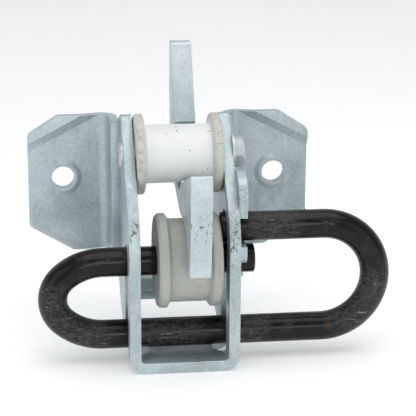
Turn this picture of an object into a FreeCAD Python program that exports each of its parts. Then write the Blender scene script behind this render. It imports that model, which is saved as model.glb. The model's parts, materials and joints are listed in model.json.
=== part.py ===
import FreeCAD, Part
import math
import os

# Roller gate latch: a folded steel guard frame with two flanged rollers, a claw
# between them, a bent round-bar pull loop and two mounting plates.
#
# Working frame while modelling, in millimetres:
#   x  to the right, 0 midway between the two legs
#   y  backwards, 0 at the front edge of the legs
#   z  upwards, 0 at the underside of the web
# Every finished piece is then moved so that the origin lies midway between the
# two mounting holes, on the face that bears on the post.

V = FreeCAD.Vector

# ---- driving dimensions ------------------------------------------------------

# guard frame
frame_plate = 5.0          # plate thickness of legs and web
leg_gap = 40.0             # clear width between the legs
corner_radius = 7.0        # outside radius of the two bottom folds
web_depth = 42.0           # front to back
leg_top = 111.0            # highest point of the legs, at the end of the sloped front edge
leg_top_y = 43.5
leg_front_straight = 66.0  # where the front edge starts to slope back
leg_rear = 72.0            # rear edge of the legs
leg_rear_top = 101.0
leg_foot_z = 30.0          # where the rear edge turns in towards the web

# mounting plates
mount_plate = 4.0          # plate thickness
mount_plane = 75.0         # face that bears on the post, behind the leg fronts
plate_width = 42.6         # outer edge of each plate, from the leg's outer face
plate_top = 105.0
plate_bottom = 38.5
mount_hole_out = 26.0      # hole centre, from the leg's outer face
mount_hole_z = 74.5
mount_hole_d = 11.0
collar_d = 14.0            # raised rim round each hole, on the front
collar_root_d = 18.0
collar_height = 1.4
fold_inner_radius = 5.0    # inside of the bend between cheek and plate
joggle = 2.6               # how far the corners are pressed forward
joggle_run = 4.0           # width of the sloping band
right_cheek_front = 8.0    # front edge of the cheek on the right leg
left_cheek_front = 50.0    # and on the left leg

# round-bar pull loop
bar_d = 13.4
bar_y = 19.0               # all three runs lie in one plane
run_a_z = 47.8             # roller run
run_b_z = 13.0             # bottom run
run_c_z = 62.9             # short upper run on the right
stub_length = 8.5          # free end of the roller run, outside the right leg
lock_length = 2.2          # free end of the short run, inside the right leg
left_bend_x = -58.8        # centre line of the bar at the far left
left_bend_length = 23.0    # how far the left bend is drawn out
left_tip_radius = 14.0     # tightest part of the left bend
right_bend_x = 90.6        # centre line of the bar at the far right
slot_side_gap = 1.3        # bar to the slot's edges
web_notch = 5.4            # how far each slot runs in along the web

# rollers
upper_y = 35.7
upper_z = 93.7
upper_body_d = 26.8
upper_flange_d = 36.8
upper_flange = 4.1         # flange thickness
upper_end_gap = 0.5        # roller to each leg
lower_body_d = 38.2
lower_flange_d = 43.2
lower_flange = 5.8
lower_left_x = -11.5
lower_right_gap = 3.0      # roller to the right leg

# shafts and what turns on them
axle_d = 10.0
axle_head_d = 11.6
axle_head = 1.6
bush_wall = 1.5
washer_d = 17.0
washer = 1.2
nut_flats = 13.0
nut = 4.4
pivot_d = 10.0
pivot_y = 61.0
pivot_z = 85.0
running_gap = 0.08         # radial, on every turning or sliding fit
fixed_gap = 0.03           # radial, on every pressed or clamped fit

# claw
claw_left_x = 0.5
claw_thick = 9.5
claw_side_gap = 0.3        # claw to its sleeves
upper_clear = 2.9          # claw to the upper roller, room for its swing
lower_clear = 1.3          # claw to the lower roller
claw_boss_r = 9.5
finger_top_z = 96.5        # front corner of the finger
finger_front_y = -15.4
finger_foot_z = 48.0
horn_top_z = 140.0

# sleeves and stay
sleeve_wall = 1.7
stay_flats = 10.6
stay_y = 52.0
stay_z = 23.7
stay_spigot_d = 7.0

# ---- values that follow ------------------------------------------------------

leg_in = leg_gap / 2
leg_out = leg_in + frame_plate
cheek_out = leg_out + mount_plate
plate_reach = leg_out + plate_width
mount_hole_x = leg_out + mount_hole_out
stub_end_x = leg_out + stub_length
lock_end_x = leg_in - lock_length
lower_right_x = leg_in - lower_right_gap
plate_front = mount_plane - mount_plate
bar_r = bar_d / 2
slot_r = bar_r + slot_side_gap
hole_r = bar_r + running_gap
claw_right_x = claw_left_x + claw_thick
origin_shift = V(0, -mount_plane, -mount_hole_z)


# ---- helpers -----------------------------------------------------------------

def rounded_wire(corners):
    """Closed wire in a plane from (u, v) or (u, v, radius) corners."""
    count = len(corners)
    points = [V(c[0], c[1], 0) for c in corners]
    starts, ends, middles = [], [], []
    for i, corner in enumerate(corners):
        here = points[i]
        radius = corner[2] if len(corner) > 2 else 0
        before = (points[i - 1] - here).normalize()
        after = (points[(i + 1) % count] - here).normalize()
        half = before.getAngle(after) / 2
        if radius == 0 or half > math.radians(89.8):
            starts.append(here)
            ends.append(here)
            middles.append(None)
            continue
        reach = radius / math.tan(half)
        inward = (before + after).normalize()
        centre = here + inward * (radius / math.sin(half))
        starts.append(here + before * reach)
        ends.append(here + after * reach)
        middles.append(centre - inward * radius)
    edges = []
    for i in range(count):
        if middles[i] is not None:
            edges.append(Part.Arc(starts[i], middles[i], ends[i]).toShape())
        following = starts[(i + 1) % count]
        if ends[i].distanceToPoint(following) > 1e-6:
            edges.append(Part.LineSegment(ends[i], following).toShape())
    return Part.Wire(edges)


def side_plate(corners, x_low, x_high):
    """Plate whose outline is given as (y, z) corners, between two x values."""
    face = Part.Face(rounded_wire(corners))
    upright = FreeCAD.Matrix(0, 0, 1, x_low, 1, 0, 0, 0, 0, 1, 0, 0, 0, 0, 0, 1)
    return face.transformGeometry(upright).extrude(V(x_high - x_low, 0, 0))


def front_plate(corners, y_front, y_back):
    """Plate whose outline is given as (x, z) corners, between two y values."""
    face = Part.Face(rounded_wire(corners))
    face.rotate(V(0, 0, 0), V(1, 0, 0), 90)
    face.translate(V(0, y_front, 0))
    return face.extrude(V(0, y_back - y_front, 0))


def flat_plate(corners, z_low, z_high):
    """Plate whose outline is given as (x, y) corners, between two z values."""
    face = Part.Face(rounded_wire(corners))
    face.translate(V(0, 0, z_low))
    return face.extrude(V(0, 0, z_high - z_low))


def bar_x(y, z, radius, x_low, x_high):
    return Part.makeCylinder(radius, x_high - x_low, V(x_low, y, z), V(1, 0, 0))


def bar_along_y(x, z, radius, y_low, y_high):
    return Part.makeCylinder(radius, y_high - y_low, V(x, y_low, z), V(0, 1, 0))


def block(x_low, x_high, y_low, y_high, z_low, z_high):
    size = (x_high - x_low, y_high - y_low, z_high - z_low)
    return Part.makeBox(*size, V(x_low, y_low, z_low))


def mirrored(shape):
    return shape.mirror(V(0, 0, 0), V(1, 0, 0))


def turned(profile, y, z):
    """Solid of revolution about the x direction through (y, z).

    The profile lists (x, radius) corners, from the left end to the right end.
    """
    points = [V(x, y, z + r) for x, r in profile]
    wire = Part.makePolygon(points + [points[0]])
    return Part.Face(wire).revolve(V(0, y, z), V(1, 0, 0), 360)


def hexagon_bar(y, z, flats, x_low, x_high):
    corner = flats / math.sqrt(3)
    angles = [math.radians(60 * i + 30) for i in range(6)]
    outline = [(y + corner * math.sin(a), z + corner * math.cos(a)) for a in angles]
    return side_plate(outline, x_low, x_high)


# ---- frame -------------------------------------------------------------------

def leg_blank(x_low, x_high):
    fold_top = corner_radius + 1
    outline = [
        (0, fold_top),
        (0, leg_front_straight, 25),
        (leg_top_y, leg_top, 3),
        (leg_rear, leg_rear_top, 6),
        (leg_rear, leg_foot_z, 14),
        (web_depth + 12, fold_top + 6, 8),
        (web_depth, fold_top + 3, 4),
        (web_depth, fold_top),
    ]
    return side_plate(outline, x_low, x_high)


def leg_slot(side, top_z):
    """Slot that runs from the web's corner up the leg, open round the fold."""
    slot_back = bar_y + slot_r
    slot_front = bar_y - slot_r
    web_end = leg_in - web_notch + slot_r
    low, high = leg_in - 1, leg_out + 1
    upright = block(low, high, slot_front, slot_back, -1, top_z)
    upright = upright.fuse(bar_x(bar_y, top_z, slot_r, low, high))
    inward = Part.makeCylinder(slot_r, frame_plate + 2, V(web_end, bar_y, -1))
    inward = inward.fuse(block(web_end, high, slot_front, slot_back, -1, frame_plate + 1))
    cut = upright.fuse(inward)
    return cut if side > 0 else mirrored(cut)


def guard_frame():
    inner_radius = corner_radius - frame_plate
    top = corner_radius + 1
    channel = front_plate([
        (-leg_out, 0, corner_radius), (leg_out, 0, corner_radius), (leg_out, top),
        (leg_in, top), (leg_in, frame_plate, inner_radius),
        (-leg_in, frame_plate, inner_radius), (-leg_in, top), (-leg_out, top),
    ], 0, web_depth)
    body = channel.fuse([leg_blank(leg_in, leg_out), leg_blank(-leg_out, -leg_in)])
    cuts = [leg_slot(1, run_c_z), leg_slot(-1, run_a_z)]
    cuts.append(bar_x(upper_y, upper_z, axle_d / 2 + fixed_gap, -leg_out - 1, leg_out + 1))
    cuts.append(bar_x(pivot_y, pivot_z, pivot_d / 2 + fixed_gap, -leg_out - 1, leg_out + 1))
    cuts.append(bar_x(stay_y, stay_z, stay_spigot_d / 2 + fixed_gap, -leg_out - 1, leg_out + 1))
    return body.cut(cuts).removeSplitter()


# ---- mounting plates ---------------------------------------------------------

def joggled_corner(outline, fold_start, fold_end):
    """Corner of the right plate beyond its fold line, set forward by a sloping band."""
    start = V(fold_start[0], 0, fold_start[1])
    along = (V(fold_end[0], 0, fold_end[1]) - start).normalize()
    outward = V(0, 1, 0).cross(along)
    if outward.x < 0:
        outward = -outward
    far = plate_width
    back = [(-1, 0), (0, 0), (joggle_run, -joggle), (far, -joggle)]
    section = [(u, plate_front + step) for u, step in back]
    section += [(u, mount_plane + step) for u, step in reversed(back)]
    points = [start - along * far + outward * u + V(0, y, 0) for u, y in section]
    sheet = Part.Face(Part.makePolygon(points + [points[0]])).extrude(along * 3 * far)
    return sheet.common(front_plate(outline, plate_front - 2 * joggle, mount_plane + 1))


def flanged_corners(folded):
    """Replace the two outer corners of a folded plate with joggled ones."""
    top_in, top_out = (cheek_out + 4, plate_top), (plate_reach, plate_top - 18)
    low_in, low_out = (cheek_out + 3, plate_bottom), (plate_reach, plate_bottom + 18.5)
    kept = front_plate([
        (leg_out - 1, plate_bottom), low_in, low_out, top_out, top_in, (leg_out - 1, plate_top),
    ], -1, mount_plane + 1)
    cut_x = plate_reach - 14.4
    top = joggled_corner(
        [top_in, (cut_x, plate_top, 4), (plate_reach, plate_top - 9.2, 4), top_out],
        top_in, top_out)
    low = joggled_corner(
        [low_in, (cut_x - 6.7, plate_bottom, 4), (plate_reach, plate_bottom + 12.5, 3), low_out],
        low_in, low_out)
    return folded.common(kept).fuse([top, low])


def mount_plate_blank(cheek_front, cheek_edge):
    """Folded plate for the right leg; cheek_edge lists its front outline, top to bottom."""
    rear_radius = fold_inner_radius + mount_plate
    folded = flat_plate([
        (leg_out, cheek_front), (leg_out, mount_plane, rear_radius), (plate_reach, mount_plane),
        (plate_reach, plate_front), (cheek_out, plate_front, fold_inner_radius),
        (cheek_out, cheek_front),
    ], plate_bottom, plate_top)
    behind = mount_plane + 1
    outline = side_plate(
        [(behind, plate_bottom - 9), (behind, plate_top + 5)] + cheek_edge,
        leg_out - 1, plate_reach + 1)
    plate = flanged_corners(folded).common(outline)
    root = V(mount_hole_x, plate_front, mount_hole_z)
    collar = Part.makeCone(collar_root_d / 2, collar_d / 2, collar_height, root, V(0, -1, 0))
    hole = bar_along_y(
        mount_hole_x, mount_hole_z, mount_hole_d / 2, plate_front - 2 * collar_height, behind)
    return plate.fuse(collar).cut(hole).removeSplitter()


def mount_plate_right():
    """Its cheek reaches forward over the bar: a saddle for run A and a notch for run C."""
    front = right_cheek_front
    lobe_top = mount_hole_z + 10.5
    blank = mount_plate_blank(front, [
        (plate_front - 9, plate_top + 5), (plate_front - 13, plate_top - 2, 6),
        (upper_y + 14, upper_z - 6, 8), (upper_y - 2, upper_z - 16, 8), (front + 13, lobe_top + 6, 8),
        (front, lobe_top, 9), (front, run_a_z, 4), (bar_y, run_a_z), (bar_y, plate_bottom, 4),
        (bar_y + 11, plate_bottom - 4),
        (plate_front - 11, plate_bottom - 9),
    ])
    low, high = leg_out - 1, cheek_out + 1
    notch = block(low, high, -1, bar_y, run_c_z - hole_r, run_c_z + hole_r)
    return blank.cut([
        bar_x(bar_y, run_a_z, hole_r, low, high), bar_x(bar_y, run_c_z, hole_r, low, high), notch])


def mount_plate_left():
    front = left_cheek_front
    return mirrored(mount_plate_blank(front, [
        (front, plate_top + 5), (front, plate_bottom + 4, 6), (front + 8, plate_bottom - 9)]))


# ---- rollers and their shafts ------------------------------------------------

def upper_roller():
    half = leg_in - upper_end_gap
    flange_r, body_r = upper_flange_d / 2, upper_body_d / 2
    bore = axle_d / 2 + bush_wall
    lip, cove = 0.8, 0.9
    spool = turned([
        (-half, bore), (-half, flange_r - lip), (-half + lip, flange_r),
        (-half + upper_flange - lip, flange_r), (-half + upper_flange, flange_r - lip),
        (-half + upper_flange + cove, body_r), (half - upper_flange - cove, body_r),
        (half - upper_flange, flange_r - lip), (half - upper_flange + lip, flange_r),
        (half - lip, flange_r), (half, flange_r - lip), (half, bore),
    ], upper_y, upper_z)
    return spool


def upper_roller_bush():
    half = leg_in - upper_end_gap
    outer = bar_x(upper_y, upper_z, axle_d / 2 + bush_wall - fixed_gap, -half, half)
    return outer.cut(bar_x(upper_y, upper_z, axle_d / 2 + running_gap, -half - 1, half + 1))


def lower_roller():
    left, right = lower_left_x, lower_right_x
    flange_r, body_r = lower_flange_d / 2, lower_body_d / 2
    lip, bevel = 1.1, 1.6
    return turned([
        (left, hole_r), (left, flange_r - lip), (left + lip, flange_r),
        (left + lower_flange - bevel, flange_r), (left + lower_flange, body_r),
        (right - lower_flange, body_r), (right - lower_flange + bevel, flange_r),
        (right - lip, flange_r), (right, flange_r - lip), (right, hole_r),
    ], bar_y, run_a_z)


def upper_axle():
    crown = 0.7
    head_r = axle_head_d / 2
    tail = leg_out + washer + nut + 0.8
    return turned([
        (-leg_out - axle_head, 0), (-leg_out - axle_head, head_r - crown),
        (-leg_out - axle_head + crown, head_r), (-leg_out, head_r), (-leg_out, axle_d / 2),
        (tail - 0.6, axle_d / 2), (tail, axle_d / 2 - 0.6), (tail, 0),
    ], upper_y, upper_z)


def axle_washer():
    ring = bar_x(upper_y, upper_z, washer_d / 2, leg_out, leg_out + washer)
    return ring.cut(bar_x(upper_y, upper_z, axle_d / 2 + fixed_gap, leg_out - 1, leg_out + washer + 1))


def axle_nut():
    low, high = leg_out + washer, leg_out + washer + nut
    blank = hexagon_bar(upper_y, upper_z, nut_flats, low, high)
    corner_r = nut_flats / math.sqrt(3)
    rounding = turned([
        (low, 0), (low, corner_r + 1), (high - 0.8, corner_r + 0.1),
        (high, nut_flats / 2), (high, 0),
    ], upper_y, upper_z)
    bore = bar_x(upper_y, upper_z, axle_d / 2 + fixed_gap, low - 1, high + 1)
    return blank.common(rounding).cut(bore)


# ---- pull loop ---------------------------------------------------------------

def drawn_out_bend(start_x, middle_z, half):
    """Left bend as three tangent arcs, from the roller run down to run B."""
    reach = left_bend_length - left_tip_radius
    side_radius = (reach ** 2 + half ** 2 - left_tip_radius ** 2) / (2 * (half - left_tip_radius))
    tip_centre = V(left_bend_x + left_tip_radius, bar_y, middle_z)
    arcs, joints = [], []
    for up in (1, -1):
        side_centre = V(start_x, bar_y, middle_z - up * (side_radius - half))
        outward = (tip_centre - side_centre).normalize()
        run_end = V(start_x, bar_y, middle_z + up * half)
        joint = tip_centre + outward * left_tip_radius
        between = (joint - side_centre + run_end - side_centre).normalize() * side_radius
        arcs.append(Part.Arc(run_end, side_centre + between, joint).toShape())
        joints.append(joint)
    tip = V(left_bend_x, bar_y, middle_z)
    return [arcs[0], Part.Arc(joints[0], tip, joints[1]).toShape(), arcs[1]]


def pull_loop():
    """One bar in the plane y = bar_y: run A, left bend, run B, right bend, run C."""
    left_start = left_bend_x + left_bend_length
    left_half = (run_a_z - run_b_z) / 2
    right_half = (run_c_z - run_b_z) / 2
    right_start = right_bend_x - right_half
    free_end = V(stub_end_x, bar_y, run_a_z)
    edges = [Part.LineSegment(free_end, V(left_start, bar_y, run_a_z)).toShape()]
    edges += drawn_out_bend(left_start, run_b_z + left_half, left_half)
    b_end = V(right_start, bar_y, run_b_z)
    c_start = V(right_start, bar_y, run_c_z)
    right_tip = V(right_bend_x, bar_y, run_b_z + right_half)
    edges.append(Part.LineSegment(V(left_start, bar_y, run_b_z), b_end).toShape())
    edges.append(Part.Arc(b_end, right_tip, c_start).toShape())
    edges.append(Part.LineSegment(c_start, V(lock_end_x, bar_y, run_c_z)).toShape())
    path = Part.Wire(Part.__sortEdges__(edges))
    section = Part.Wire(Part.makeCircle(bar_r, free_end, V(1, 0, 0)))
    bar = path.makePipeShell([section], True, False)
    print("pull loop volume", round(bar.Volume), "section x length",
          round(math.pi * bar_r ** 2 * path.Length))
    return bar


# ---- claw and its pivot ------------------------------------------------------

def claw_plate():
    """S-shaped plate: horn behind the upper roller, finger before the lower one."""
    lower_r = lower_body_d / 2 + lower_clear
    upper_r = upper_body_d / 2 + upper_clear
    boss_rear = pivot_y + claw_boss_r
    front, horn = finger_front_y, horn_top_z
    outline = [
        (front + 0.2, finger_top_z, 1.5), (front - 0.3, finger_top_z - 7, 4),
        (front + 1.2, leg_front_straight, 30), (front + 4.4, finger_foot_z + 0.5, 1.5),
        (bar_y - 22, finger_foot_z - 0.5, 1.5), (bar_y - 22, run_a_z + 10), (bar_y - 13, run_a_z + 18),
        (bar_y + 4, run_a_z + 19.5), (bar_y + 14, run_a_z + 22.0, 8),
        (pivot_y - 14, pivot_z - claw_boss_r - 1, 10), (boss_rear, pivot_z - claw_boss_r, 9),
        (boss_rear, pivot_z + 19, 12), (mount_plane - 2.5, horn - 22, 12),
        (mount_plane - 4, horn, 2), (mount_plane - 11, horn, 2), (upper_y + 14.5, upper_z + 19, 12),
        (upper_y + 9, upper_z + 10), (upper_y, upper_z), (upper_y - 11, upper_z - 5),
        (upper_y - 14, upper_z - 10.5),
    ]
    blank = side_plate(outline, claw_left_x, claw_right_x)
    low, high = claw_left_x - 1, claw_right_x + 1
    cuts = [
        bar_x(bar_y, run_a_z, lower_r, low, high),
        bar_x(upper_y, upper_z, upper_r, low, high),
        bar_x(pivot_y, pivot_z, pivot_d / 2 + bush_wall, low, high),
    ]
    solids = blank.cut(cuts).Solids
    return max(solids, key=lambda solid: solid.Volume)


def claw_bush():
    outer = bar_x(pivot_y, pivot_z, pivot_d / 2 + bush_wall - fixed_gap, claw_left_x, claw_right_x)
    return outer.cut(bar_x(pivot_y, pivot_z, pivot_d / 2 + running_gap, -leg_out, leg_out))


def claw_pivot_pin():
    return bar_x(pivot_y, pivot_z, pivot_d / 2, -leg_out + 0.05, leg_out - 0.05)


def pivot_sleeve(x_low, x_high):
    outer = bar_x(pivot_y, pivot_z, pivot_d / 2 + sleeve_wall, x_low, x_high)
    return outer.cut(bar_x(pivot_y, pivot_z, pivot_d / 2 + fixed_gap, x_low - 1, x_high + 1))


def cross_stay():
    bar = hexagon_bar(stay_y, stay_z, stay_flats, -leg_in, leg_in)
    spigot = bar_x(stay_y, stay_z, stay_spigot_d / 2, -leg_out, leg_out)
    return bar.fuse(spigot).removeSplitter()


# ---- pieces ------------------------------------------------------------------

pieces = {
    "guard_frame": guard_frame(),
    "mount_plate_left": mount_plate_left(),
    "mount_plate_right": mount_plate_right(),
    "upper_axle": upper_axle(),
    "axle_washer": axle_washer(),
    "axle_nut": axle_nut(),
    "upper_roller": upper_roller(),
    "upper_roller_bush": upper_roller_bush(),
    "lower_roller": lower_roller(),
    "pull_loop": pull_loop(),
    "claw_plate": claw_plate(),
    "claw_bush": claw_bush(),
    "claw_pivot_pin": claw_pivot_pin(),
    "pivot_sleeve_left": pivot_sleeve(-leg_in, claw_left_x - claw_side_gap),
    "pivot_sleeve_right": pivot_sleeve(claw_right_x + claw_side_gap, leg_in),
    "cross_stay": cross_stay(),
}

os.makedirs("parts", exist_ok=True)
for name, shape in pieces.items():
    shape.translate(origin_shift)
    shape.exportStep("parts/" + name + ".step")
    box = shape.BoundBox
    print(name, "valid" if shape.isValid() else "BAD", len(shape.Solids), round(shape.Volume),
          [round(v, 1) for v in (box.XMin, box.XMax, box.YMin, box.YMax, box.ZMin, box.ZMax)])
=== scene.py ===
"""Looks of the roller gate latch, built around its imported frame."""
import json
import math

import bmesh
import bpy
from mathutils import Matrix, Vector


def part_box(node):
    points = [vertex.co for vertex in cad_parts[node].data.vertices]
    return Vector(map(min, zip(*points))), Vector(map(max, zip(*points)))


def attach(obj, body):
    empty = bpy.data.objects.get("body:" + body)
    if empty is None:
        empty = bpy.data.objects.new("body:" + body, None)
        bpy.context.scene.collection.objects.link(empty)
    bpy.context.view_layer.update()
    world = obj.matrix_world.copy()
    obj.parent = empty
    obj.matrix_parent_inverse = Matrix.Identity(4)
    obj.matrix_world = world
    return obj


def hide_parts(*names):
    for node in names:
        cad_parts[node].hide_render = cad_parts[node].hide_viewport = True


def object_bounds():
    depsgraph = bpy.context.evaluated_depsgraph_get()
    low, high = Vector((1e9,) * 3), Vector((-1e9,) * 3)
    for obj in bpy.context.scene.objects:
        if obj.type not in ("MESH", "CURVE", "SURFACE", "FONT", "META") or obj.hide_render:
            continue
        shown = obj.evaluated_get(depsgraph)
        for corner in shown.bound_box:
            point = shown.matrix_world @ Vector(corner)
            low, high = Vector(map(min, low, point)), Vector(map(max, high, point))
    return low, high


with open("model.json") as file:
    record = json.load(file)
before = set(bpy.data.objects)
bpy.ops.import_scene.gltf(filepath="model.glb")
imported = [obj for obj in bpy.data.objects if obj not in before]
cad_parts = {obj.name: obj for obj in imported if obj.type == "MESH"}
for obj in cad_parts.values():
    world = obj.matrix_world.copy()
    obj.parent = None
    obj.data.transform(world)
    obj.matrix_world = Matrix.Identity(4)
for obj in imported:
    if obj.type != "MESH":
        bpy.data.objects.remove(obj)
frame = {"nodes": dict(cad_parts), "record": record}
cad_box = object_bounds()
MM = 0.001
nodes = frame["nodes"]

# ---- camera, in the frame's metres ------------------------------------------

LOOK_AT = Vector((0, -0.045, -0.0145))
VIEW_FROM_LEFT = math.radians(6.5)
VIEW_FROM_ABOVE = math.radians(17.03)
VIEW_DISTANCE = 0.70
SENSOR_MM = 36.0
LENS_MM = 131.3
SHIFT_X, SHIFT_Y = 0.0721, 0.0459


def make_camera():
    data = bpy.data.cameras.new("camera")
    data.sensor_width = SENSOR_MM
    data.lens = LENS_MM
    data.shift_x, data.shift_y = SHIFT_X, SHIFT_Y
    data.clip_start, data.clip_end = 0.01, 50
    camera = bpy.data.objects.new("camera", data)
    bpy.context.collection.objects.link(camera)
    across = math.cos(VIEW_FROM_ABOVE)
    sight = Vector((
        math.sin(VIEW_FROM_LEFT) * across, math.cos(VIEW_FROM_LEFT) * across,
        -math.sin(VIEW_FROM_ABOVE)))
    camera.location = LOOK_AT - sight * VIEW_DISTANCE
    camera.rotation_euler = sight.to_track_quat("-Z", "Y").to_euler()
    bpy.context.scene.camera = camera


make_camera()

# ---- shader maths ------------------------------------------------------------


class Wire:
    """A shader socket that Python's operators add Math nodes to."""

    def __init__(self, shader, socket):
        self.shader = shader
        self.socket = socket

    def math(self, kind, *others, clamp=False):
        values = dict(enumerate((self,) + others))
        return self.shader.add("ShaderNodeMath", {"operation": kind, "use_clamp": clamp}, values)

    def __add__(self, other):
        return self.math("ADD", other)

    def __sub__(self, other):
        return self.math("SUBTRACT", other)

    def __rsub__(self, other):
        return self.shader.add("ShaderNodeMath", {"operation": "SUBTRACT"}, {0: other, 1: self})

    def __mul__(self, other):
        return self.math("MULTIPLY", other)

    __radd__, __rmul__ = __add__, __mul__

    def clamped(self):
        return self.math("ADD", 0.0, clamp=True)

    def above(self, edge, softness):
        """0 below edge, 1 above edge + softness, with a soft step between."""
        return self.shader.add(
            "ShaderNodeMapRange", {"interpolation_type": "SMOOTHSTEP"},
            {"Value": self, "From Min": edge, "From Max": edge + softness})

    def below(self, edge, softness):
        return 1.0 - self.above(edge - softness, softness)


class Shader:
    """One material's node tree, all of its nodes made by add()."""

    def __init__(self, name):
        self.material = bpy.data.materials.new(name)
        self.material.use_nodes = True
        self.tree = self.material.node_tree
        self.surface = self.tree.nodes["Principled BSDF"]
        self.place = self.add("ShaderNodeTexCoord", out="Object")

    def add(self, kind, settings=None, values=None, out=0):
        node = self.tree.nodes.new(kind)
        for key, value in (settings or {}).items():
            setattr(node, key, value)
        for key, value in (values or {}).items():
            self.feed(node.inputs[key], value)
        return Wire(self, node.outputs[out])

    def feed(self, socket, value):
        if isinstance(value, Wire):
            self.tree.links.new(value.socket, socket)
        elif socket.type == "RGBA" and len(value) == 3:
            socket.default_value = (*value, 1.0)
        else:
            socket.default_value = value

    def noise(self, scale, detail=4.0, rough=0.55, stretch=(1, 1, 1), twist=0.0, shift=(0, 0, 0)):
        where = self.add("ShaderNodeMapping", None, {
            "Vector": self.place, "Location": shift, "Scale": stretch})
        return self.add("ShaderNodeTexNoise", None, {
            "Vector": where, "Scale": scale, "Detail": detail, "Roughness": rough,
            "Distortion": twist})

    def cells(self, scale, stretch=(1, 1, 1), feature="F1", shift=(0, 0, 0), out="Distance"):
        where = self.add("ShaderNodeMapping", None, {
            "Vector": self.place, "Location": shift, "Scale": stretch})
        return self.add("ShaderNodeTexVoronoi", {"feature": feature}, {
            "Vector": where, "Scale": scale}, out)

    def mix(self, amount, low, high):
        return self.add(
            "ShaderNodeMix", {"data_type": "RGBA"},
            {"Factor": amount, "A": low, "B": high}, out="Result")

    def near(self, centre, reach, soft=0.5):
        """1 round a point given in millimetres, falling to 0 at reach."""
        away = self.add(
            "ShaderNodeVectorMath", {"operation": "DISTANCE"},
            {0: self.place, 1: tuple(c * MM for c in centre)}, out="Value")
        return away.below(reach * MM, reach * soft * MM)

    def any_near(self, spots):
        """Union of near() over (centre, reach) pairs."""
        total = self.near(*spots[0])
        for spot in spots[1:]:
            total = total + self.near(*spot)
        return total.clamped()

    def edge_highlight_mask(self, radius):
        """About 1 on convex edges within radius, 0 on flats."""
        soft = self.add("ShaderNodeBevel", {"samples": 6}, {"Radius": radius})
        normal = self.add("ShaderNodeNewGeometry", out="Normal")
        likeness = self.add(
            "ShaderNodeVectorMath", {"operation": "DOT_PRODUCT"}, {0: soft, 1: normal}, out="Value")
        return 1.0 - likeness

    def bump(self, height, distance, strength=1.0):
        return self.add("ShaderNodeBump", None, {
            "Height": height, "Distance": distance, "Strength": strength})

    def finish(self, fixed=None, **varying):
        for key, value in {**(fixed or {}), **varying}.items():
            self.feed(self.surface.inputs[key.replace("_", " ")], value)
        return self.material


# ---- finishes ----------------------------------------------------------------

RUST = (0.16, 0.055, 0.018)

# places in millimetres, with a reach, where the zinc is rubbed, nicked or rusty
RUSTY_SPOTS = [((22.5, -70, 6), 9), ((22.5, -74, -6), 8), ((6, -75, -69), 5), ((30, -40, 12), 4)]
SCORED_SPOTS = [
    ((22.5, -75, -15), 15), ((-22.5, -75, -12), 13), ((5.0, -90, -2.5), 9), ((8, -68, -69), 8),
    ((-16, -50, -69), 8), ((-60, -69, 16), 10), ((-38, -72, -12), 6)]


def zinc(name, tint, pale, shift=(0, 0, 0), stretch=(1, 1, 1), edge=0.5, speck=0.6):
    """Bright zinc on rolled plate: fine spangle, draw lines, nicks, a little rust and a painted
    highlight along its edges.
    """
    s = Shader(name)
    cloud = s.noise(38, 5, 0.6, shift=shift)
    fine = s.noise(800, 6, 0.78, shift=shift)
    spangle = s.add("ShaderNodeSeparateColor", None, {"Color": s.cells(900, shift=shift, out="Color")})
    lines = s.noise(900, 3, 0.6, stretch=stretch, shift=shift)
    smear = s.noise(90, 6, 0.7, stretch=(1.4, 1, 0.5), twist=1.2, shift=shift).above(0.54, 0.16)
    streak = s.noise(300, 3, 0.6, stretch=(1, 1, 0.14), twist=0.5, shift=shift).above(0.62, 0.10)
    pits = s.noise(1700, 2, 0.5, shift=shift).above(0.70, 0.03)
    scored = s.any_near(SCORED_SPOTS) * 0.9 + 0.02
    score = s.noise(480, 2, 0.4, stretch=(1.3, 1, 0.3), twist=1.5).above(0.595, 0.02)
    score = score * s.noise(190, 2, 0.5, shift=(1, 0, 0)).above(0.48, 0.06) * scored
    rusty = s.any_near(RUSTY_SPOTS) + 0.015
    rust = s.noise(800, 4, 0.75, shift=shift).above(0.545, 0.05) * rusty
    # mask for the painted highlight: 1 along the bevelled edges, 0 on flats
    painted_edge_highlight = s.edge_highlight_mask(0.7 * MM).above(0.01, 0.12)
    grain = fine.above(0.40, 0.2) * 0.7 + spangle * 0.3 + cloud * 0.2
    colour = s.mix((cloud.above(0.35, 0.35) * 0.45 + grain * 0.5).clamped(), tint, pale)
    colour = s.mix(smear * 0.30, colour, tuple(0.60 * c for c in tint))
    colour = s.mix(streak * 0.22, colour, (0.80, 0.85, 0.86))
    # painted highlight: edges are lightened in the colour itself, as if catching the light
    colour = s.mix(painted_edge_highlight * edge, colour, (0.80, 0.84, 0.85))
    colour = s.mix((pits * speck * 0.55).clamped(), colour, (0.10, 0.11, 0.11))
    colour = s.mix(score * 0.85, colour, (0.06, 0.065, 0.09))
    colour = s.mix((rust * 0.9).clamped(), colour, RUST)
    rough = 0.33 + cloud * 0.14 + fine * 0.12 + smear * 0.12 + rust * 0.3
    height = cloud * 0.5 + fine * 0.5 + lines * 0.3 + spangle * 0.15 - score * 0.9 - pits * 0.8
    metal = (0.64 - rust * 0.75 - score * 0.5 - pits * 0.3).clamped()
    rounded = s.add("ShaderNodeBevel", {"samples": 6}, {"Radius": 0.25 * MM})
    normal = s.add("ShaderNodeBump", None, {
        "Height": height, "Distance": 0.07 * MM, "Strength": 0.9, "Normal": rounded})
    return s.finish(
        {"Specular IOR Level": 0.5}, Base_Color=colour, Roughness=rough, Metallic=metal, Normal=normal)


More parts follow.
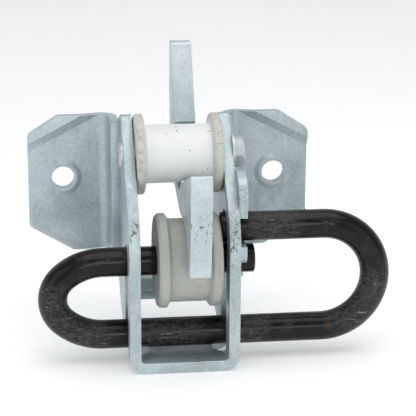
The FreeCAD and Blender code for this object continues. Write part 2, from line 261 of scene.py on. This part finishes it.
def white_nylon():
    """Turned white nylon: tool marks round the roller, grey stains and grit on the flanges."""
    s = Shader("white_nylon")
    low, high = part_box("upper_roller")
    flange = 4.2 * MM
    across = s.add("ShaderNodeSeparateXYZ", None, {"Vector": s.place}, out="X")
    on_left = across.below(low[0] + flange, 0.8 * MM)
    on_right = across.above(high[0] - flange - 0.8 * MM, 0.8 * MM)
    on_flange = (on_left + on_right).clamped()
    cloud = s.noise(60, 4, 0.6)
    turning = s.noise(2600, 2, 0.5, stretch=(1, 0.02, 0.02))
    grime = s.noise(300, 6, 0.75).above(0.46, 0.26)
    grit = s.noise(1300, 3, 0.6).above(0.63, 0.04)
    big_grit = s.cells(330).below(0.16, 0.05) * s.noise(150, 2).above(0.55, 0.04)
    sparse = (on_flange * 0.75 + 0.15).clamped()
    colour = s.mix(cloud, (0.80, 0.81, 0.79), (0.88, 0.89, 0.87))
    colour = s.mix(on_flange * 0.72, colour, (0.52, 0.512, 0.43))
    colour = s.mix(grime * on_flange * 0.62, colour, (0.25, 0.245, 0.20))
    colour = s.mix(grit * sparse, colour, (0.07, 0.06, 0.05))
    colour = s.mix(big_grit * 0.9, colour, (0.05, 0.05, 0.05))
    rough = 0.42 + cloud * 0.12 + grime * on_flange * 0.2
    height = turning * 0.5 + cloud * 0.4 - grit * sparse * 0.5
    return s.finish(
        {"Subsurface Weight": 0.12, "Subsurface Radius": (1.0, 0.95, 0.85), "Subsurface Scale": 0.003,
         "IOR": 1.53},
        Base_Color=colour, Roughness=rough, Normal=s.bump(height, 0.05 * MM))


def natural_nylon():
    """Milky natural nylon: soft clouding, moulding lines and a dull wax-like surface."""
    s = Shader("natural_nylon")
    cloud = s.noise(45, 5, 0.6, twist=0.5)
    fine = s.noise(500, 4, 0.6)
    turning = s.noise(1900, 2, 0.5, stretch=(1, 0.02, 0.02))
    dust = s.noise(1400, 3, 0.6).above(0.64, 0.06)
    rub = s.noise(170, 5, 0.7, stretch=(0.6, 1, 1)).above(0.58, 0.1)
    dirt = s.noise(260, 6, 0.75).above(0.42, 0.2) * s.near((15, -72, -38), 18)
    colour = s.mix(cloud, (0.35, 0.36, 0.33), (0.47, 0.48, 0.445))
    colour = s.mix(fine.above(0.5, 0.3) * 0.25, colour, (0.58, 0.58, 0.54))
    colour = s.mix(rub * 0.3, colour, (0.62, 0.62, 0.59))
    colour = s.mix(dust * 0.4, colour, (0.24, 0.23, 0.20))
    colour = s.mix(dirt * 0.4, colour, (0.30, 0.30, 0.265))
    rough = 0.44 + cloud * 0.12 - rub * 0.08 + dirt * 0.1
    height = turning * 0.35 + fine * 0.5 + cloud * 0.4
    return s.finish(
        {"Subsurface Weight": 0.35, "Subsurface Radius": (1.0, 0.95, 0.85), "Subsurface Scale": 0.006,
         "IOR": 1.53},
        Base_Color=colour, Roughness=rough, Normal=s.bump(height, 0.05 * MM))


SCUFFED_SPOTS = [
    ((-4, -62, -61), 20), ((-48, -62, -60), 20), ((30, -62, -59), 14), ((42, -62, -9), 16),
    ((84, -60, -50), 22), ((-62, -58, -45), 14)]
BROWN_SPOTS = [((88, -60, -40), 30), ((78, -56, -56), 22), ((-50, -58, -30), 16)]


def black_bar():
    """Black oxide bar: grey scuffs where it rubs, brown wear and draw marks along it."""
    s = Shader("black_bar")
    draw = s.noise(700, 3, 0.6, stretch=(0.05, 1, 1))
    cloud = s.noise(70, 5, 0.65)
    zone = (s.any_near(SCUFFED_SPOTS) * 0.85 + s.noise(34, 3, 0.55).above(0.54, 0.1) * 0.4).clamped()
    scuff = s.noise(950, 8, 0.85, stretch=(0.4, 1, 1)).above(0.40, 0.26) * zone
    scrape = s.noise(650, 5, 0.75, stretch=(0.16, 1, 1.2), twist=0.4).above(0.615, 0.03) * zone
    brown = (s.noise(150, 5, 0.7).above(0.45, 0.2) * s.any_near(BROWN_SPOTS)
             + s.noise(95, 4, 0.6, shift=(0, 2, 0)).above(0.60, 0.12) * 0.4).clamped()
    specks = s.noise(1500, 2, 0.5).above(0.70, 0.03)
    colour = s.mix(cloud, (0.002, 0.002, 0.002), (0.008, 0.007, 0.007))
    colour = s.mix(brown * 0.6, colour, (0.034, 0.023, 0.015))
    colour = s.mix(scuff * 0.7, colour, (0.12, 0.12, 0.122))
    colour = s.mix(scrape * 0.75, colour, (0.36, 0.34, 0.31))
    colour = s.mix(specks * 0.45, colour, (0.12, 0.11, 0.10))
    rough = 0.16 + cloud * 0.14 + scuff * 0.34 + brown * 0.08
    height = draw * 0.5 + cloud * 0.5 - scuff * 0.25 - scrape * 0.5
    return s.finish(
        {"Specular IOR Level": 0.20, "Coat Roughness": 0.14}, Base_Color=colour, Roughness=rough,
        Metallic=scrape * 0.5 + 0.02, Coat_Weight=(0.10 - scuff * 0.10).clamped(),
        Normal=s.bump(height, 0.11 * MM))


def bearing_bronze():
    """Turned bronze bush: fine turning marks and uneven browning."""
    s = Shader("bearing_bronze")
    turning = s.noise(2200, 2, 0.5, stretch=(1, 0.03, 0.03))
    cloud = s.noise(160, 4, 0.6)
    colour = s.mix(cloud, (0.42, 0.25, 0.10), (0.60, 0.40, 0.19))
    return s.finish(
        {}, Base_Color=colour, Roughness=0.3 + cloud * 0.2, Metallic=1.0 - cloud * 0.1,
        Normal=s.bump(turning + cloud * 0.3, 0.03 * MM))


def backdrop_paper():
    """Pale matt paper with faint fibre, lifted a little towards white."""
    s = Shader("backdrop_paper")
    cloud = s.noise(3, 3, 0.5)
    colour = s.mix(cloud, (0.94, 0.94, 0.94), (0.96, 0.96, 0.96))
    return s.finish(
        {"Emission Strength": 0.24}, Base_Color=colour, Roughness=0.85 + cloud * 0.1,
        Normal=s.bump(s.noise(900, 3), 0.02 * MM), Emission_Color=colour)


FINISHES = {
    "zinc_plate": zinc("zinc_plate", (0.33, 0.405, 0.415), (0.58, 0.665, 0.68), stretch=(1, 1, 6)),
    "zinc_claw": zinc(
        "zinc_claw", (0.44, 0.52, 0.53), (0.68, 0.755, 0.765), shift=(4, 1, 2), stretch=(6, 1, 1)),
    "zinc_hardware": zinc("zinc_hardware", (0.48, 0.53, 0.53), (0.72, 0.76, 0.75), shift=(1, 5, 3)),
    "white_nylon": white_nylon(),
    "natural_nylon": natural_nylon(),
    "black_bar": black_bar(),
    "bearing_bronze": bearing_bronze(),
}
SLOT_OF = {part["node"]: part["material_slot"] for part in frame["record"]["subparts"]}
BODY_OF = {
    node: body for body, members in frame["record"]["behaviour"]["bodies"].items()
    for node in members}

# ---- pieces that stand for their nodes, with broken edges ---------------------


def with_broken_edges(node, width, steps=2, angle=32):
    """Copy of a node whose sharp edges are rounded over by width."""
    source = nodes[node]
    mesh = bmesh.new()
    mesh.from_mesh(source.data)
    bmesh.ops.remove_doubles(mesh, verts=mesh.verts, dist=0.002 * MM)
    bmesh.ops.dissolve_limit(
        mesh, angle_limit=math.radians(0.6), verts=mesh.verts, edges=mesh.edges,
        delimit={"NORMAL"})
    sharp = [e for e in mesh.edges if len(e.link_faces) == 2
             and e.calc_face_angle(0) > math.radians(angle)]
    bmesh.ops.bevel(
        mesh, geom=sharp, offset=width, offset_type="OFFSET", segments=steps, profile=0.5,
        affect="EDGES", clamp_overlap=True, miter_outer="ARC")
    bmesh.ops.triangulate(mesh, faces=[f for f in mesh.faces if len(f.verts) > 4])
    data = bpy.data.meshes.new(node + "_finished")
    mesh.to_mesh(data)
    mesh.free()
    piece = bpy.data.objects.new(node + "_finished", data)
    bpy.context.collection.objects.link(piece)
    smooth_over(piece, 30)
    piece.data.materials.append(FINISHES[SLOT_OF[node]])
    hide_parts(node)
    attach(piece, BODY_OF[node])
    return piece


def smooth_over(piece, angle):
    """Smooth shading everywhere but across edges sharper than angle, in degrees."""
    piece.data.shade_smooth()
    mesh = bmesh.new()
    mesh.from_mesh(piece.data)
    for edge in mesh.edges:
        edge.smooth = len(edge.link_faces) != 2 or edge.calc_face_angle(0) < math.radians(angle)
    mesh.to_mesh(piece.data)
    mesh.free()


BROKEN_EDGES = {
    "guard_frame": 0.45 * MM,
    "mount_plate_left": 0.35 * MM,
    "mount_plate_right": 0.35 * MM,
    "claw_plate": 0.5 * MM,
    "axle_nut": 0.2 * MM,
    "cross_stay": 0.25 * MM,
    "pull_loop": 0.5 * MM,
}

for name, node in nodes.items():
    if name in BROKEN_EDGES:
        with_broken_edges(name, BROKEN_EDGES[name])
    else:
        node.data.materials.clear()
        node.data.materials.append(FINISHES[SLOT_OF[name]])

# ---- floor and light ---------------------------------------------------------

FLOOR_GAP = 0.2 * MM


def make_floor():
    """Pale sweep: flat under the latch, curving up behind it."""
    low_z = cad_box[0][2] - FLOOR_GAP
    reach, depth, rise, bend = 9.0, 1.6, 2.4, 0.6
    profile = [(-reach, 0.0), (depth, 0.0)]
    turns = 16
    for i in range(1, turns + 1):
        angle = math.pi / 2 * i / turns
        profile.append((depth + bend * math.sin(angle), bend - bend * math.cos(angle)))
    profile.append((depth + bend, rise))
    verts, faces = [], []
    for y, z in profile:
        verts += [(-reach, y, low_z + z), (reach, y, low_z + z)]
    for i in range(len(profile) - 1):
        faces.append((2 * i, 2 * i + 1, 2 * i + 3, 2 * i + 2))
    data = bpy.data.meshes.new("floor")
    data.from_pydata(verts, [], faces)
    data.shade_smooth()
    floor = bpy.data.objects.new("floor", data)
    bpy.context.collection.objects.link(floor)
    data.materials.append(backdrop_paper())


def softbox(name, place, size, watts, colour=(1, 1, 1)):
    data = bpy.data.lights.new(name, "AREA")
    data.shape = "RECTANGLE"
    data.size, data.size_y = size
    data.energy = watts
    data.color = colour
    lamp = bpy.data.objects.new(name, data)
    lamp.location = place
    lamp.rotation_euler = (LOOK_AT - Vector(place)).to_track_quat("-Z", "Y").to_euler()
    bpy.context.collection.objects.link(lamp)


def make_light():
    softbox("top_light", (0.1, -0.2, 1.1), (1.2, 1.0), 6.5)
    softbox("left_light", (-1.0, -0.7, 0.45), (0.8, 1.0), 2.2)
    softbox("right_light", (0.9, -0.9, 0.35), (0.6, 0.9), 1.2, (0.96, 0.98, 1.0))
    softbox("front_light", (0.05, -1.6, 0.38), (0.7, 0.4), 3.6)
    world = bpy.data.worlds.new("studio")
    world.use_nodes = True
    background = world.node_tree.nodes["Background"]
    background.inputs["Color"].default_value = (0.93, 0.96, 1.0, 1.0)
    background.inputs["Strength"].default_value = 0.42
    bpy.context.scene.world = world


make_floor()
make_light()
bpy.context.scene.view_settings.view_transform = "Standard"

bpy.context.view_layer.update()
